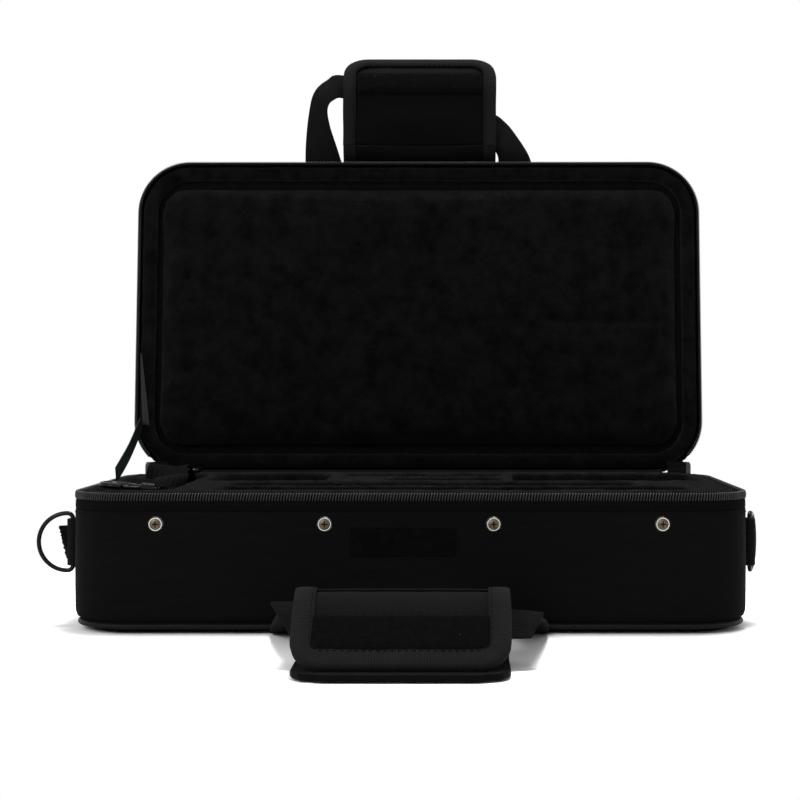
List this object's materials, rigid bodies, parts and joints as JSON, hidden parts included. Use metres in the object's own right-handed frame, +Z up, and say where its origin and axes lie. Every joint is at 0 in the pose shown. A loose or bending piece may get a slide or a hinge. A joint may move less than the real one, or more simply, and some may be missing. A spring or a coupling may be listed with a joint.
{
  "type": "clarinet case",
  "caption": "Zippered, cloth covered woodwind case with a hinged lid, a fitted plush insert, carrying handles, side rings and a shoulder strap in its well.",
  "frame": {"origin": "centre of the flat bottom that the case rests on", "axes": "+X to the viewer's right along the case's length, -Y to the front with the screws, +Z up"},
  "size_m": [0.3934, 0.4031, 0.3428],
  "materials": {
    "cover_cloth": "woven nylon",
    "webbing": "woven webbing",
    "plush": "short pile",
    "foam": "soft foam",
    "board": "plywood",
    "zip_teeth": "satin",
    "wire": "gloss black",
    "hardware": "dulled nickel",
    "hook_tape": "hook and loop",
    "padding": "padded cloth",
    "ribbon": "smooth ribbon"
  },
  "bodies": {
    "base": {"base_cover": "cover_cloth", "base_frame": "board", "base_board": "board", "front_rail": "board", "base_piping": "cover_cloth", "base_zip_tape": "webbing", "base_zip_coil": "zip_teeth", "zip_stops": "hardware", "base_hinge_leaf": "cover_cloth", "plush_strap_bay": "plush", "plush_lower_joint_bed": "plush", "plush_upper_joint_bed": "plush", "plush_reed_bay": "plush", "plush_barrel_bed": "plush", "plush_mouthpiece_bed": "plush", "plush_bell_bed": "plush", "front_loop_patch": "hook_tape", "front_screws": "hardware", "cup_washers": "hardware", "d_ring_tab_left": "webbing", "d_ring_tab_right": "webbing", "base_handle_anchors": "webbing", "lid_stay": "ribbon"},
    "lid": {"lid_cover": "cover_cloth", "lid_frame": "board", "lid_board": "board", "lid_foam": "foam", "lid_rim_roll": "plush", "lid_panel": "plush", "lid_piping": "cover_cloth", "lid_zip_tape": "webbing", "lid_zip_coil": "zip_teeth", "lid_hinge_leaf": "cover_cloth", "lid_handle_anchors": "webbing"},
    "base_handle": {"base_handle_webbing": "webbing", "base_wrap_leaf": "padding"},
    "base_flap": {"base_wrap_flap": "padding", "base_flap_binding": "webbing", "base_loop_strip": "hook_tape"},
    "lid_handle": {"lid_handle_webbing": "webbing", "lid_wrap_leaf": "padding"},
    "lid_flap": {"lid_wrap_flap": "padding", "lid_flap_binding": "webbing", "lid_hook_strip": "hook_tape"},
    "ring_left": {"d_ring_left": "wire"},
    "ring_right": {"d_ring_right": "wire"},
    "slider_left": {"zip_slider_left": "hardware"},
    "slider_right": {"zip_slider_right": "hardware"},
    "pull_left": {"zip_pull_left": "hardware"},
    "pull_right": {"zip_pull_right": "hardware"},
    "strap": {"strap_webbing": "webbing", "strap_glide": "wire", "hook_eye_front": "wire", "hook_eye_rear": "wire"},
    "hook_front": {"snap_hook_front": "wire"},
    "hook_rear": {"snap_hook_rear": "wire"},
    "gate_front": {"hook_gate_front": "wire"},
    "gate_rear": {"hook_gate_rear": "wire"}
  },
  "joints": [
    {"name": "lid_hinge", "type": "hinge", "parent": "base", "child": "lid", "pos_m": [0, 0.1, 0.07385], "axis": [-1, 0, 0], "range_deg": [-96, 0], "deforming": ["lid_stay", "lid_panel", "lid_rim_roll"]},
    {"name": "base_handle_swing", "type": "hinge", "parent": "base", "child": "base_handle", "pos_m": [0, -0.1012, 0.0022], "axis": [-1, 0, 0], "range_deg": [0, 70]},
    {"name": "base_flap_fold", "type": "hinge", "parent": "base_handle", "child": "base_flap", "pos_m": [0, -0.20295, 0.036], "axis": [-1, 0, 0], "range_deg": [0, 80]},
    {"name": "lid_handle_swing", "type": "hinge", "parent": "lid", "child": "lid_handle", "pos_m": [0, 0.14358, 0.27178], "axis": [-1, 0, 0], "range_deg": [-30, 90]},
    {"name": "lid_flap_fold", "type": "hinge", "parent": "lid_handle", "child": "lid_flap", "pos_m": [0, 0.13458, 0.28518], "axis": [1, 0, 0], "range_deg": [0, 80]},
    {"name": "ring_left_swing", "type": "hinge", "parent": "base", "child": "ring_left", "pos_m": [-0.1835, -0.06, 0.0447], "axis": [0, 0, 1], "range_deg": [-75, 75]},
    {"name": "ring_right_swing", "type": "hinge", "parent": "base", "child": "ring_right", "pos_m": [0.1835, -0.06, 0.0447], "axis": [0, 0, 1], "range_deg": [-148, 0]},
    {"name": "zip_run_left", "type": "hinge", "parent": "base", "child": "slider_left", "pos_m": [-0.147, 0.067, 0.07385], "axis": [0, 0, 1], "range_deg": [0, 58]},
    {"name": "zip_run_right", "type": "hinge", "parent": "base", "child": "slider_right", "pos_m": [0.147, 0.067, 0.07385], "axis": [0, 0, -1], "range_deg": [0, 58]},
    {"name": "pull_left_swing", "type": "hinge", "parent": "slider_left", "child": "pull_left", "pos_m": [-0.16608, 0.09753, 0.07385], "axis": [-0.5299, 0.848, 0], "range_deg": [-15, 90]},
    {"name": "pull_right_swing", "type": "hinge", "parent": "slider_right", "child": "pull_right", "pos_m": [0.16608, 0.09753, 0.07385], "axis": [0.5299, 0.848, 0], "range_deg": [-90, 15]},
    {"name": "strap_lift", "type": "slide", "parent": "base", "child": "strap", "axis": [0, 0, 1], "range_m": [0, 0.15]},
    {"name": "hook_front_swivel", "type": "hinge", "parent": "strap", "child": "hook_front", "pos_m": [-0.138, -0.068, 0.0736], "axis": [-0.9945, 0, 0.1045], "range_deg": [0, 180]},
    {"name": "gate_front_spring", "type": "hinge", "parent": "hook_front", "child": "gate_front", "pos_m": [-0.14635, -0.07108, 0.07448], "axis": [-0.1045, 0, -0.9945], "range_deg": [0, 22], "stiffness_Nm_per_rad": 0.02},
    {"name": "hook_rear_swivel", "type": "hinge", "parent": "strap", "child": "hook_rear", "pos_m": [-0.1583, 0.05, 0.0724], "axis": [0.9781, 0, 0.2079], "range_deg": [0, 180]},
    {"name": "gate_rear_spring", "type": "hinge", "parent": "hook_rear", "child": "gate_rear", "pos_m": [-0.15008, 0.05308, 0.07415], "axis": [0.2079, 0, -0.9781], "range_deg": [0, 22], "stiffness_Nm_per_rad": 0.02}
  ]
}
